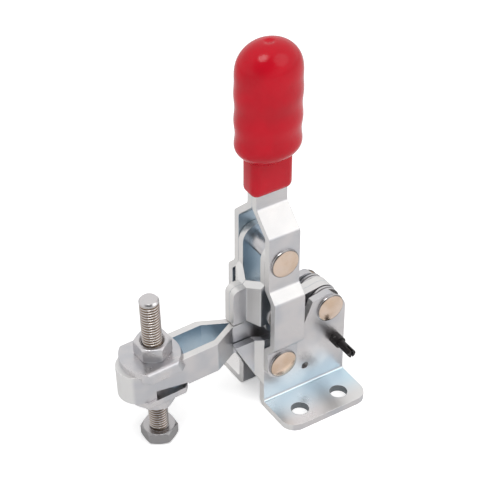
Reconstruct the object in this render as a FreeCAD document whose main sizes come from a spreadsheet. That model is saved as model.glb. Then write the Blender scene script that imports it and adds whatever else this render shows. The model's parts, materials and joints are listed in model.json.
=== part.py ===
"""Vertical toggle clamp with a flanged base, a U-shaped clamping bar and an adjustable spindle.

Frame, in millimetres: the origin is the middle of the mounting-hole pattern, on the underside of the
base. +Z is up, the clamping bar points along -X and the lever stands upright in the closed position.
The side with -Y is called near and the side with +Y is called far.
"""
import FreeCAD, Part
import math
import os

import Sketcher

# Driving dimensions, in millimetres and degrees.
SIZES = {
    # sheet metal and running gaps
    "sheet_gauge": 3.0,
    "pivot_gap": 0.05,
    "slide_gap": 0.15,
    "loose_gap": 0.3,
    # base plates
    "base_length": 39.0,
    "wall_half_gap": 6.2,
    "flange_reach": 28.6,
    "flange_corner": 6.0,
    "bend_inner": 1.2,
    "hole_spacing_long": 19.0,
    "hole_spacing_cross": 41.3,
    "hole_radius": 3.6,
    "nose_half_gap": 3.4,
    "nose_tip": -31.0,
    "nose_low": 12.0,
    "nose_high": 34.5,
    "valley_high": 35.5,
    "shoulder_x": -0.5,
    "rear_lobe": 7.9,
    "dowel_hole_x": 0.5,
    "dowel_hole_z": 13.0,
    "dowel_hole_radius": 1.6,
    # pivots
    "foot_x": -12.8,
    "foot_z": 22.9,
    "head_x": -12.8,
    "head_z": 73.7,
    "rear_x": 11.8,
    "rear_z": 38.7,
    "knee_x": -12.0,
    "knee_z": 46.0,
    "rivet_radius": 3.0,
    "rivet_head_radius": 6.3,
    "rivet_head_height": 1.9,
    "rivet_rim_height": 0.9,
    "rivet_dome_radius": 5.0,
    "post_radius": 4.8,
    "sleeve_radius": 4.2,
    "washer_radius": 6.6,
    # stop pin
    "stop_x": 14.9,
    "stop_z": 21.4,
    "stop_radius": 1.75,
    "stop_collar_radius": 2.5,
    "stop_collar_length": 4.2,
    "stop_reach": 21.5,
    "stop_bore": 0.7,
    "stop_slit": 0.7,
    # clamping bar
    "bar_half_width": 8.25,
    "bar_waist": 3.05,
    "bar_split": 0.05,
    "bar_low": 30.8,
    "bar_high": 44.3,
    "bar_nose_x": -72.0,
    "bar_droop": 2.0,
    "bar_taper_front": -40.5,
    "bar_taper_rear": -30.5,
    "bar_lobe": 7.0,
    "knee_lobe": 5.0,
    "notch_depth": 3.6,
    "notch_rear_depth": 0.8,
    "notch_front_x": -68.5,
    "notch_rear_x": -54.0,
    # link
    "link_lobe": 7.0,
    "toe_tip": -30.0,
    "toe_high": 60.0,
    "toe_step": 2.7,
    "toe_corner": 3.0,
    # lever
    "lever_width": 14.0,
    "lever_offset": 4.5,
    "lever_foot": 7.0,
    "bulge_low": 36.0,
    "bulge_high": 57.0,
    "bulge_slope": 4.6,
    "fork_high": 86.0,
    "neck_low": 95.0,
    "tang_high": 150.0,
    "lever_bend": 2.0,
    # grip
    "collar_low": 101.0,
    "collar_high": 114.5,
    "collar_half_long": 9.2,
    "collar_half_deep": 4.9,
    "collar_corner": 3.2,
    "grip_half_long": 13.7,
    "grip_half_deep": 11.2,
    "grip_groove": 0.9,
    "grip_pitch": 11.2,
    "grip_low": 119.0,
    "grip_high": 165.5,
    # spindle and its nuts and washers
    "spindle_x": -64.4,
    "thread_radius": 4.0,
    "spindle_low": 3.1,
    "spindle_length": 65.0,
    "bolt_head_height": 5.3,
    "nut_height": 6.5,
    "nut_flats": 13.0,
    "tip_chamfer": 0.9,
    "saddle_gauge": 2.5,
    "saddle_radius": 12.5,
    "saddle_lip": 2.6,
    "saddle_collar_height": 2.2,
    "saddle_collar_half": 4.85,
    "disc_half_width": 9.5,
}

doc = FreeCAD.newDocument("ToggleClamp")
sheet = doc.addObject("Spreadsheet::Sheet", "Sizes")


class Term:
    """A length that knows its number and its text for the sheet, so that both stay the same."""

    def __init__(self, value, text):
        self.value = value
        self.text = text

    def joined(self, other, sign, value, turned=False):
        left, right = self.text, text_of(other)
        if turned:
            left, right = right, left
        return Term(value, f"({left} {sign} {right})")

    def __add__(self, other):
        return self.joined(other, "+", self.value + value_of(other))

    def __radd__(self, other):
        return self.joined(other, "+", value_of(other) + self.value, True)

    def __sub__(self, other):
        return self.joined(other, "-", self.value - value_of(other))

    def __rsub__(self, other):
        return self.joined(other, "-", value_of(other) - self.value, True)

    def __mul__(self, other):
        return self.joined(other, "*", self.value * value_of(other))

    def __rmul__(self, other):
        return self.joined(other, "*", value_of(other) * self.value, True)

    def __truediv__(self, other):
        return self.joined(other, "/", self.value / value_of(other))

    def __neg__(self):
        return Term(-self.value, f"(0 - {self.text})")


def sine(angle):
    return Term(math.sin(math.radians(angle.value)), f"sin({angle.text} * 1 deg)")


def cosine(angle):
    return Term(math.cos(math.radians(angle.value)), f"cos({angle.text} * 1 deg)")


def value_of(term):
    return term.value if isinstance(term, Term) else float(term)


def text_of(term):
    return term.text if isinstance(term, Term) else repr(float(term))


def fill_sheet():
    for row, (name, number) in enumerate(SIZES.items(), start=1):
        sheet.set(f"A{row}", name)
        sheet.set(f"B{row}", str(number))
        sheet.setAlias(f"B{row}", name)
    doc.recompute()


def size(name):
    return Term(SIZES[name], f"{sheet.Name}.{name}")


def set_size(item, prop, term):
    if isinstance(term, Term):
        item.setExpression(prop, term.text)
    else:
        setattr(item, prop, term)


def new_body(label):
    body = doc.addObject("PartDesign::Body", label)
    body.Label = label
    return body


def plane_of(body, role):
    for feature in body.Origin.OriginFeatures:
        if feature.Role == role:
            return feature
    raise ValueError(role)


def new_sketch(body, role, offset=0):
    """A sketch on one of the body's own planes, moved along that plane's normal."""
    sketch = body.newObject("Sketcher::SketchObject", f"{body.Label}_sketch")
    sketch.AttachmentSupport = [(plane_of(body, role), "")]
    sketch.MapMode = "FlatFace"
    sketch.AttachmentOffset = FreeCAD.Placement(
        FreeCAD.Vector(0, 0, value_of(offset)), FreeCAD.Rotation())
    if isinstance(offset, Term):
        sketch.setExpression("AttachmentOffset.Base.z", offset.text)
    return sketch


def pin_point(sketch, edge, end, point):
    """Ties one end of an edge to the origin by its two distances."""
    for kind, term in (("DistanceX", point[0]), ("DistanceY", point[1])):
        number = sketch.addConstraint(
            Sketcher.Constraint(kind, -1, 1, edge, end, value_of(term)))
        if isinstance(term, Term):
            sketch.setExpression(f"Constraints[{number}]", term.text)


def vector(point):
    return FreeCAD.Vector(value_of(point[0]), value_of(point[1]), 0)


def draw_outline(sketch, corners, rounds=None):
    """A closed outline through corners. rounds maps a side's number to (centre, counter-clockwise)."""
    rounds = rounds or {}
    first = sketch.GeometryCount
    count = len(corners)
    for side in range(count):
        start, end = vector(corners[side]), vector(corners[(side + 1) % count])
        if side in rounds:
            centre, left_turn = rounds[side]
            middle = vector(centre)
            circle = Part.Circle(middle, FreeCAD.Vector(0, 0, 1), (start - middle).Length)
            a = math.atan2(start.y - middle.y, start.x - middle.x)
            b = math.atan2(end.y - middle.y, end.x - middle.x)
            sketch.addGeometry(Part.ArcOfCircle(circle, a, b) if left_turn
                               else Part.ArcOfCircle(circle, b, a))
        else:
            sketch.addGeometry(Part.LineSegment(start, end))
    for side in range(count):
        following = (side + 1) % count
        end_point = 1 if side in rounds and not rounds[side][1] else 2
        start_point = 2 if following in rounds and not rounds[following][1] else 1
        sketch.addConstraint(Sketcher.Constraint(
            "Coincident", first + side, end_point, first + following, start_point))
    for side in range(count):
        start_point = 2 if side in rounds and not rounds[side][1] else 1
        pin_point(sketch, first + side, start_point, corners[side])
    for side, (centre, _) in rounds.items():
        start, end = vector(corners[side]), vector(corners[(side + 1) % count])
        upright = abs(start.y - end.y) > abs(start.x - end.x)
        kind, term = ("DistanceX", centre[0]) if upright else ("DistanceY", centre[1])
        number = sketch.addConstraint(Sketcher.Constraint(
            kind, -1, 1, first + side, 3, value_of(term)))
        if isinstance(term, Term):
            sketch.setExpression(f"Constraints[{number}]", term.text)


def draw_circle(sketch, centre, radius):
    number = sketch.addGeometry(Part.Circle(
        vector(centre), FreeCAD.Vector(0, 0, 1), value_of(radius)))
    pin_point(sketch, number, 3, centre)
    rule = sketch.addConstraint(Sketcher.Constraint("Radius", number, value_of(radius)))
    if isinstance(radius, Term):
        sketch.setExpression(f"Constraints[{rule}]", radius.text)


def rectangle(low_x, low_y, high_x, high_y):
    return [(low_x, low_y), (high_x, low_y), (high_x, high_y), (low_x, high_y)]


def hexagon(centre, across_flats):
    """Corners of a hexagon with two corners on the sketch's second axis."""
    half = across_flats / 2
    tall = across_flats / math.sqrt(3)
    x, y = centre
    return [(x, y - tall), (x + half, y - tall / 2), (x + half, y + tall / 2),
            (x, y + tall), (x - half, y + tall / 2), (x - half, y - tall / 2)]


def pad(body, sketch, length):
    """Pads a sketch along its normal."""
    feature = body.newObject("PartDesign::Pad", f"{body.Label}_pad")
    feature.Profile = sketch
    set_size(feature, "Length", length)
    sketch.Visibility = False
    doc.recompute()
    return feature


def pocket(body, sketch, what):
    """Cuts a sketch right through, both ways, and checks that it removed something."""
    before = body.Shape.Volume
    feature = body.newObject("PartDesign::Pocket", f"{body.Label}_pocket")
    feature.Profile = sketch
    feature.Type = "ThroughAll"
    feature.Midplane = True
    sketch.Visibility = False
    doc.recompute()
    if not body.Shape.Volume < before - 1e-6:
        raise RuntimeError(f"{body.Label}: {what} cuts nothing")
    return feature


def keep_inside(body, role, corners, rounds=None):
    """Trims the body to an outline by cutting all that lies outside it."""
    far = 400.0
    sketch = new_sketch(body, role)
    draw_outline(sketch, rectangle(-far, -far, far, far))
    draw_outline(sketch, corners, rounds)
    pocket(body, sketch, "its outline")


def edges_where(body, test):
    names = []
    for number, edge in enumerate(body.Shape.Edges, start=1):
        if test(edge):
            names.append(f"Edge{number}")
    if not names:
        raise RuntimeError(f"{body.Label}: no edge to round")
    return names


def round_edges(body, radius, test, kind="Fillet"):
    base, names = body.Tip, edges_where(body, test)
    feature = body.newObject(f"PartDesign::{kind}", f"{body.Label}_{kind.lower()}")
    feature.Base = (base, names)
    set_size(feature, "Radius" if kind == "Fillet" else "Size", radius)
    doc.recompute()
    return feature


def edge_along(edge, axis, close=1e-4):
    """True for a straight edge along the given axis, 0 for X, 1 for Y and 2 for Z."""
    if edge.Curve.TypeId != "Part::GeomLine":
        return False
    step = edge.lastVertex().Point - edge.firstVertex().Point
    return abs(abs(step[axis]) - step.Length) < close


def middle_of(edge):
    return edge.CenterOfMass


def near(number, term, close=0.01):
    return abs(number - value_of(term)) < close


fill_sheet()
GAUGE = size("sheet_gauge")
WALL_IN = size("wall_half_gap")
WALL_OUT = WALL_IN + GAUGE
LEVER_IN = WALL_OUT + size("slide_gap")
LEVER_OUT = LEVER_IN + GAUGE
BULGE_IN = LEVER_IN + size("lever_offset")
BULGE_OUT = LEVER_OUT + size("lever_offset")
FOOT = (size("foot_x"), size("foot_z"))
HEAD = (size("head_x"), size("head_z"))
REAR = (size("rear_x"), size("rear_z"))
KNEE = (size("knee_x"), size("knee_z"))
STOP = (size("stop_x"), size("stop_z"))
SHANK = size("rivet_radius")
BORE = SHANK + size("pivot_gap")
DROOP = size("bar_droop")
# The knee pivot as the bar sees it, before the bar is turned down about its rear pivot.
BAR_KNEE = (
    REAR[0] + (KNEE[0] - REAR[0]) * cosine(DROOP) + (KNEE[1] - REAR[1]) * sine(DROOP),
    REAR[1] - (KNEE[0] - REAR[0]) * sine(DROOP) + (KNEE[1] - REAR[1]) * cosine(DROOP))
BASE_FRONT = -size("base_length") / 2
BASE_REAR = size("base_length") / 2


def make_base_plate(label, near_side):
    """One half of the base: a wall with a stepped nose and a rear lobe, and a drilled flange."""
    side = -1 if near_side else 1
    body = new_body(label)
    nose_in = size("nose_half_gap")
    nose_out = nose_in + GAUGE
    top = REAR[1] + size("rear_lobe")
    step = WALL_IN - nose_in
    section = [(size("nose_tip"), side * nose_in), (BASE_FRONT - step, side * nose_in),
               (BASE_FRONT, side * WALL_IN), (BASE_REAR, side * WALL_IN),
               (BASE_REAR, side * WALL_OUT), (BASE_FRONT, side * WALL_OUT),
               (BASE_FRONT - step, side * nose_out), (size("nose_tip"), side * nose_out)]
    sketch = new_sketch(body, "XY_Plane")
    draw_outline(sketch, section)
    pad(body, sketch, top)
    lobe = size("rear_lobe")
    outline = [(BASE_FRONT, Term(0, "0")), (BASE_REAR, Term(0, "0")),
               (BASE_REAR, REAR[1]), (REAR[0], top),
               (size("shoulder_x") + lobe / 2, top - lobe / 5),
               (size("shoulder_x"), size("valley_high")),
               (BASE_FRONT, size("valley_high")), (BASE_FRONT - step, size("nose_high")),
               (size("nose_tip"), size("nose_high")), (BASE_FRONT, size("nose_low"))]
    keep_inside(body, "XZ_Plane", outline)
    round_edges(body, lobe * 0.8, lambda e: edge_along(e, 1) and near(middle_of(e).x, BASE_REAR)
                and near(middle_of(e).z, REAR[1]))
    round_edges(body, lobe * 0.4, lambda e: edge_along(e, 1) and near(middle_of(e).z, top)
                and near(middle_of(e).x, REAR[0]))
    reach = size("flange_reach")
    sketch = new_sketch(body, "XY_Plane")
    edges = (WALL_IN, reach)
    low, high = (-edges[1], -edges[0]) if near_side else edges
    draw_outline(sketch, rectangle(BASE_FRONT, low, BASE_REAR, high))
    pad(body, sketch, GAUGE)
    corner = size("flange_corner")
    round_edges(body, corner, lambda e: edge_along(e, 2) and near(abs(middle_of(e).y), reach))
    round_edges(body, size("bend_inner"), lambda e: edge_along(e, 0)
                and near(abs(middle_of(e).y), WALL_OUT) and near(middle_of(e).z, GAUGE))
    round_edges(body, size("bend_inner") + GAUGE * 0.6, lambda e: edge_along(e, 0)
                and near(abs(middle_of(e).y), WALL_IN) and near(middle_of(e).z, 0))
    sketch = new_sketch(body, "XY_Plane")
    for x in (-1, 1):
        draw_circle(sketch, (x * size("hole_spacing_long") / 2,
                             side * size("hole_spacing_cross") / 2), size("hole_radius"))
    pocket(body, sketch, "the mounting holes")
    sketch = new_sketch(body, "XZ_Plane")
    draw_circle(sketch, REAR, SHANK)
    draw_circle(sketch, FOOT, SHANK)
    draw_circle(sketch, STOP, size("stop_radius"))
    draw_circle(sketch, (size("dowel_hole_x"), size("dowel_hole_z")), size("dowel_hole_radius"))
    pocket(body, sketch, "the pin holes")
    return body


def make_tube(label, centre, outer, bore, low, high):
    """A round sleeve or washer along Y, from low to high."""
    body = new_body(label)
    sketch = new_sketch(body, "XZ_Plane", -high)
    draw_circle(sketch, centre, outer)
    if bore is not None:
        draw_circle(sketch, centre, bore)
    pad(body, sketch, high - low)
    return body


def lift(point, centre):
    """A profile point, given as (along, radius), moved to the height of the pivot's centre."""
    return (point[0], centre[1] + point[1])


def turn_profile(body, centre, corners, rounds=None):
    """Revolves a profile, given as (along, radius) corners, about the line along Y through centre."""
    sketch = new_sketch(body, "YZ_Plane", centre[0])
    draw_outline(sketch, [lift(corner, centre) for corner in corners], rounds)
    axis = sketch.addGeometry(Part.LineSegment(
        FreeCAD.Vector(-1, value_of(centre[1]), 0), FreeCAD.Vector(1, value_of(centre[1]), 0)), True)
    pin_point(sketch, axis, 1, (Term(-1.0, "(0 - 1)"), centre[1]))
    pin_point(sketch, axis, 2, (Term(1.0, "1"), centre[1]))
    feature = body.newObject("PartDesign::Revolution", f"{body.Label}_turn")
    feature.Profile = sketch
    feature.ReferenceAxis = (sketch, ["Axis0"])
    feature.Angle = 360
    sketch.Visibility = False
    doc.recompute()
    return feature


def head_corners(side, face, shank):
    """Corners of a rivet head that sits on face: a flat rim round a low dome, out to the axis."""
    rim = face + side * size("rivet_rim_height")
    crown = face + side * size("rivet_head_height")
    return [(face, shank), (face, size("rivet_head_radius")), (rim, size("rivet_head_radius")),
            (rim, size("rivet_dome_radius")), (crown, Term(0, "0"))]


def dome_centre(side, face):
    """Centre of the arc that passes through the dome's edge and its crown."""
    rise = size("rivet_head_height") - size("rivet_rim_height")
    reach = (size("rivet_dome_radius") * size("rivet_dome_radius") + rise * rise) / (rise * 2)
    return (face + side * (size("rivet_head_height") - reach), Term(0, "0"))


def make_rivet(label, centre, seat):
    """A rivet right through, with a low domed head on each side at seat."""
    body = new_body(label)
    nearer = head_corners(-1, -seat, SHANK)
    corners = list(reversed(nearer)) + head_corners(1, seat, SHANK)
    last = len(corners) - 2
    turn_profile(body, centre, corners, {0: (lift(dome_centre(-1, -seat), centre), False),
                                         last: (lift(dome_centre(1, seat), centre), False)})
    return body


def make_foot_rivet(label, near_side):
    """The outer end of the lever's foot pivot: a head and the length of shank in the lever plate."""
    side = -1 if near_side else 1
    body = new_body(label)
    corners = [(side * LEVER_IN, Term(0, "0")), (side * LEVER_IN, SHANK)]
    corners += head_corners(side, side * LEVER_OUT, SHANK)
    last = len(corners) - 2
    turn_profile(body, FOOT, corners, {last: (lift(dome_centre(side, side * LEVER_OUT), FOOT),
                                              near_side)})
    return body


def make_foot_post(label):
    """The shouldered post that holds the two walls apart at the lever's foot."""
    body = new_body(label)
    post = size("post_radius")
    zero = Term(0, "0")
    corners = [(-WALL_OUT, zero), (-WALL_OUT, SHANK), (-WALL_IN, SHANK), (-WALL_IN, post),
               (WALL_IN, post), (WALL_IN, SHANK), (WALL_OUT, SHANK), (WALL_OUT, zero)]
    turn_profile(body, FOOT, corners)
    return body


def make_stop_pin(label):
    """The slit pin across the rear of the base that stops the opened lever."""
    body = new_body(label)
    reach, radius, bore = size("stop_reach"), size("stop_radius"), size("stop_bore")
    band = size("stop_collar_radius")
    seat = WALL_OUT
    band_end = seat + size("stop_collar_length")
    corners = [(-reach, bore), (-reach, radius), (-band_end, radius), (-band_end, band),
               (-seat, band), (-seat, radius), (seat, radius), (seat, band),
               (band_end, band), (band_end, radius), (reach, radius), (reach, bore)]
    turn_profile(body, STOP, corners)
    half = size("stop_slit") / 2
    deep = reach - size("stop_collar_length") * 0.9
    for side in (-1, 1):
        sketch = new_sketch(body, "XY_Plane")
        start, end = side * deep, side * (reach + 1)
        low, high = (start, end) if side > 0 else (end, start)
        draw_outline(sketch, rectangle(STOP[0] - half, low, STOP[0] + half, high))
        pocket(body, sketch, "the slit")
    return body


def turn_down(body):
    """Turns a finished body about the bar's rear pivot, down to the closed clamp's slope."""
    pivot = FreeCAD.Vector(value_of(REAR[0]), 0, value_of(REAR[1]))
    turn = FreeCAD.Rotation(FreeCAD.Vector(0, 1, 0), -value_of(DROOP))
    body.Placement = FreeCAD.Placement(FreeCAD.Vector(), turn, pivot)
    doc.recompute()


def make_clamp_bar(label):
    """One strip folded into a U round the spindle, its two ends laid together towards the pivot."""
    body = new_body(label)
    wide, waist, split = size("bar_half_width"), size("bar_waist"), size("bar_split")
    front, rear = size("bar_taper_front"), size("bar_taper_rear")
    nose = size("bar_nose_x")
    inner = wide - GAUGE
    shift = GAUGE * 0.18
    end = REAR[0] + size("bar_lobe") + 1
    zero = Term(0, "0")
    corners = [(end, -waist), (end, -split), (rear + shift, -split), (front + shift, -inner),
               (nose, -inner), (nose, inner), (front + shift, inner), (rear + shift, split),
               (end, split), (end, waist), (rear, waist), (front, wide), (nose, wide),
               (nose, -wide), (front, -wide), (rear, -waist)]
    sketch = new_sketch(body, "XY_Plane", size("bar_low"))
    draw_outline(sketch, corners, {4: ((nose, zero), False), 12: ((nose, zero), True)})
    pad(body, sketch, BAR_KNEE[1] + size("knee_lobe") + 2 - size("bar_low"))
    low, high = size("bar_low"), size("bar_high")
    lobe, knee = size("bar_lobe"), size("knee_lobe")
    tip = nose - wide - 1
    outline = [(tip, low), (size("notch_front_x"), low),
               (size("notch_front_x"), low + size("notch_depth")),
               (size("notch_rear_x"), low + size("notch_rear_depth")),
               (size("notch_rear_x"), low), (REAR[0] - lobe, low), (REAR[0], REAR[1] - lobe),
               (REAR[0], REAR[1] + lobe), (BAR_KNEE[0] + knee * 2, high),
               (BAR_KNEE[0] + knee, BAR_KNEE[1]), (BAR_KNEE[0] - knee, BAR_KNEE[1]), (BAR_KNEE[0] - knee, high),
               (tip, high)]
    keep_inside(body, "XZ_Plane", outline, {6: (REAR, True), 9: (BAR_KNEE, True)})
    sketch = new_sketch(body, "XZ_Plane")
    draw_circle(sketch, REAR, BORE)
    draw_circle(sketch, BAR_KNEE, BORE)
    pocket(body, sketch, "the pivot holes")
    bend = size("lever_bend")
    round_edges(body, bend, lambda e: edge_along(e, 2)
                and (near(middle_of(e).x, front) or near(middle_of(e).x, rear)))
    turn_down(body)
    return body


def make_link_plate(label, near_side):
    """One half of the link: an ear beside the bar, stepped in at the front to a toe that rests on it."""
    side = -1 if near_side else 1
    body = new_body(label)
    lobe = size("link_lobe")
    front, rear = HEAD[0] - lobe, HEAD[0] + lobe
    low, high = KNEE[1] - lobe, HEAD[1] + lobe
    split, step, tip = size("bar_split"), size("toe_step"), size("toe_tip")
    lead = GAUGE * 0.5
    section = [(tip, side * split), (front - step, side * split), (front, side * WALL_IN),
               (rear, side * WALL_IN), (rear, side * WALL_OUT), (front - lead, side * WALL_OUT),
               (front - step - lead, side * (split + GAUGE)), (tip, side * (split + GAUGE))]
    sketch = new_sketch(body, "XY_Plane", low)
    draw_outline(sketch, section)
    pad(body, sketch, high - low)
    knee_front = KNEE[0] - lobe
    drop = (REAR[0] - knee_front) * sine(DROOP)
    toe_low, toe_high = size("bar_high") - drop + size("slide_gap"), size("toe_high")
    outline = [(knee_front, low), (KNEE[0] + lobe, low), (KNEE[0] + lobe, KNEE[1] + lobe * 2),
               (rear, high - lobe * 2), (rear, high), (front, high), (front, toe_high + lobe / 2),
               (front - lead - step, toe_high), (tip, toe_high), (tip, toe_low),
               (knee_front, toe_low)]
    keep_inside(body, "XZ_Plane", outline)
    round_edges(body, lobe * 0.93, lambda e: edge_along(e, 1) and near(middle_of(e).z, high))
    round_edges(body, lobe * 0.85, lambda e: edge_along(e, 1) and near(middle_of(e).z, low)
                and middle_of(e).x > value_of(KNEE[0]))
    round_edges(body, (toe_low - low) * 0.8, lambda e: edge_along(e, 1)
                and near(middle_of(e).z, low) and near(middle_of(e).x, knee_front))
    round_edges(body, size("toe_corner"), lambda e: edge_along(e, 1)
                and near(middle_of(e).x, tip) and near(middle_of(e).z, toe_high))
    sketch = new_sketch(body, "XZ_Plane")
    draw_circle(sketch, HEAD, BORE)
    draw_circle(sketch, KNEE, SHANK)
    pocket(body, sketch, "the pivot holes")
    return body


def lever_path():
    """Distance from the middle plane and height of a lever plate's inner face, foot to tang."""
    slope = size("bulge_slope")
    split = size("bar_split")
    return [(LEVER_IN, FOOT[1] - size("lever_foot")),
            (LEVER_IN, size("bulge_low") - slope), (BULGE_IN, size("bulge_low")),
            (BULGE_IN, size("bulge_high")), (LEVER_IN, size("bulge_high") + slope),
            (LEVER_IN, size("fork_high")), (split, size("neck_low")), (split, size("tang_high"))]


def make_lever_plate(label, near_side):
    """One half of the lever: a strip bulged out over the pivot heads and closed to the tang."""
    side = -1 if near_side else 1
    body = new_body(label)
    inner = lever_path()
    lift = GAUGE * 0.25
    rises = [0, -lift, -lift, lift, lift, lift, lift, 0]
    outer = [(across + GAUGE, height + rise) for (across, height), rise in zip(inner, rises)]
    ring = inner + list(reversed(outer))
    sketch = new_sketch(body, "YZ_Plane", FOOT[0] - size("lever_width") / 2)
    draw_outline(sketch, [(side * across, height) for across, height in ring])
    pad(body, sketch, size("lever_width"))
    bends = inner[1:-1] + outer[1:-1]
    round_edges(body, size("lever_bend"), lambda e: edge_along(e, 0) and any(
        near(abs(middle_of(e).y), across) and near(middle_of(e).z, height)
        for across, height in bends))
    foot = FOOT[1] - size("lever_foot")
    round_edges(body, size("lever_width") * 0.48, lambda e: edge_along(e, 1)
                and near(middle_of(e).z, foot))
    sketch = new_sketch(body, "XZ_Plane")
    draw_circle(sketch, FOOT, SHANK)
    draw_circle(sketch, HEAD, SHANK)
    pocket(body, sketch, "the pivot holes")
    return body


def rounded_rectangle(sketch, centre, half_long, half_deep, corner):
    """A rectangle with round corners about a point on the sketch's first axis."""
    x = centre
    a, b, r = half_long, half_deep, corner
    corners = [(x - a + r, -b), (x + a - r, -b), (x + a, -b + r), (x + a, b - r),
               (x + a - r, b), (x - a + r, b), (x - a, b - r), (x - a, -b + r)]
    rounds = {1: ((x + a - r, -b + r), True), 3: ((x + a - r, b - r), True),
              5: ((x - a + r, b - r), True), 7: ((x - a + r, -b + r), True)}
    draw_outline(sketch, corners, rounds)


def draw_oval(sketch, centre, half_long, half_deep):
    """An ellipse about a point on the sketch's first axis, with its two half lengths bound."""
    x = value_of(centre)
    a, b = value_of(half_long), value_of(half_deep)
    number = sketch.addGeometry(Part.Ellipse(
        FreeCAD.Vector(x + a, 0, 0), FreeCAD.Vector(x, b, 0), FreeCAD.Vector(x, 0, 0)))
    pin_point(sketch, number, 3, (centre, 0.0))
    sketch.exposeInternalGeometry(number)
    sketch.addConstraint(Sketcher.Constraint("Horizontal", number + 1))
    for axis, half in ((number + 1, half_long), (number + 2, half_deep)):
        rule = sketch.addConstraint(Sketcher.Constraint("Distance", axis, 2 * value_of(half)))
        sketch.setExpression(f"Constraints[{rule}]", (half * 2).text)


def grip_insets():
    """Heights of the grip's sections, each with how far it lies inside the full oval."""
    low, pitch, deep = size("grip_low"), size("grip_pitch"), size("grip_half_deep")
    rings = [(low - pitch * 0.34, deep * 0.5), (low - pitch * 0.16, deep * 0.3), (low, deep * 0.14)]
    quarters = 13
    for quarter in range(1, quarters + 1):
        wave = (1 - math.cos(math.pi * (quarter - 1) / 2)) / 2
        rings.append((low + pitch * (quarter / 4), size("grip_groove") * wave))
    start = low + pitch * (quarters / 4)
    rise = size("grip_high") - start
    for turn in (25, 45, 62, 76):
        angle = math.radians(turn)
        rings.append((start + rise * math.sin(angle), deep * (1 - math.cos(angle)) * 0.97))
    return rings


def make_grip(label):
    """The moulded grip: a flat collar, and an oval body with finger grooves and a domed top."""
    body = new_body(label)
    centre = HEAD[0]
    sections = []
    for height, inset in grip_insets():
        sketch = new_sketch(body, "XY_Plane", height)
        draw_oval(sketch, centre, size("grip_half_long") - inset, size("grip_half_deep") - inset)
        sketch.Visibility = False
        sections.append(sketch)
    doc.recompute()
    loft = body.newObject("PartDesign::AdditiveLoft", f"{label}_loft")
    loft.Profile = sections[0]
    loft.Sections = sections[1:]
    loft.Ruled = True
    doc.recompute()
    sketch = new_sketch(body, "XY_Plane", size("collar_low"))
    rounded_rectangle(sketch, centre, size("collar_half_long"), size("collar_half_deep"),
                      size("collar_corner"))
    pad(body, sketch, size("grip_low") - size("collar_low"))
    sketch = new_sketch(body, "XY_Plane", size("collar_low"))
    gap = size("pivot_gap")
    half_long = size("lever_width") / 2 + gap
    half_deep = GAUGE + size("bar_split") + gap
    draw_outline(sketch, rectangle(centre - half_long, -half_deep, centre + half_long, half_deep))
    before = body.Shape.Volume
    slot = body.newObject("PartDesign::Pocket", f"{label}_slot")
    slot.Profile = sketch
    slot.Reversed = True
    set_size(slot, "Length", size("tang_high") + gap - size("collar_low"))
    sketch.Visibility = False
    doc.recompute()
    if not body.Shape.Volume < before - 1:
        raise RuntimeError("the grip's slot cuts nothing")
    return body


def make_nut(label, low):
    """A hexagon nut on the spindle, with both faces chamfered."""
    body = new_body(label)
    centre = (size("spindle_x"), Term(0, "0"))
    sketch = new_sketch(body, "XY_Plane", low)
    draw_outline(sketch, hexagon(centre, size("nut_flats")))
    pad(body, sketch, size("nut_height"))
    trim_hexagon(body, centre, low, size("nut_height"), both=True)
    sketch = new_sketch(body, "XY_Plane")
    draw_circle(sketch, centre, size("thread_radius") + size("pivot_gap"))
    pocket(body, sketch, "the threaded hole")
    turn_down(body)
    return body


def trim_hexagon(body, centre, low, height, both):
    """Turns off the hexagon's corners with a groove, as its chamfer."""
    corner = size("nut_flats") / math.sqrt(3)
    flat = size("nut_flats") / 2
    drop = size("nut_flats") * 0.05
    faces = [(low, 1)] + ([(low + height, -1)] if both else [])
    for face, way in faces:
        sketch = new_sketch(body, "XZ_Plane")
        x = centre[0]
        draw_outline(sketch, [(x + flat * 0.98, face), (x + corner + 1, face),
                              (x + corner + 1, face + way * drop * 2)])
        axis = sketch.addGeometry(Part.LineSegment(
            FreeCAD.Vector(value_of(x), 0, 0), FreeCAD.Vector(value_of(x), 1, 0)), True)
        pin_point(sketch, axis, 1, (x, Term(0, "0")))
        pin_point(sketch, axis, 2, (x, Term(1.0, "1")))
        before = body.Shape.Volume
        groove = body.newObject("PartDesign::Groove", f"{body.Label}_chamfer")
        groove.Profile = sketch
        groove.ReferenceAxis = (sketch, ["Axis0"])
        groove.Angle = 360
        sketch.Visibility = False
        doc.recompute()
        if not body.Shape.Volume < before - 1e-6:
            raise RuntimeError(f"{body.Label}: the chamfer cuts nothing")


def make_spindle(label):
    """The clamping screw: a hexagon head that presses on the work, and a long shank above it."""
    body = new_body(label)
    centre = (size("spindle_x"), Term(0, "0"))
    low, head = size("spindle_low"), size("bolt_head_height")
    sketch = new_sketch(body, "XY_Plane", low)
    draw_outline(sketch, hexagon(centre, size("nut_flats")))
    pad(body, sketch, head)
    trim_hexagon(body, centre, low, head, both=False)
    sketch = new_sketch(body, "XY_Plane", low)
    draw_circle(sketch, centre, size("thread_radius"))
    pad(body, sketch, head + size("spindle_length"))
    top = low + head + size("spindle_length")
    round_edges(body, size("tip_chamfer"), lambda e: near(middle_of(e).z, top, 0.2), "Chamfer")
    turn_down(body)
    return body


def washer_outline(half_width, radius):
    """Corners of a disc about the spindle with two flat sides along the bar."""
    x = size("spindle_x")
    reach = math.sqrt(value_of(radius) ** 2 - value_of(half_width) ** 2)
    return [(x - reach, -half_width), (x + reach, -half_width),
            (x + reach, half_width), (x - reach, half_width)]


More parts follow.
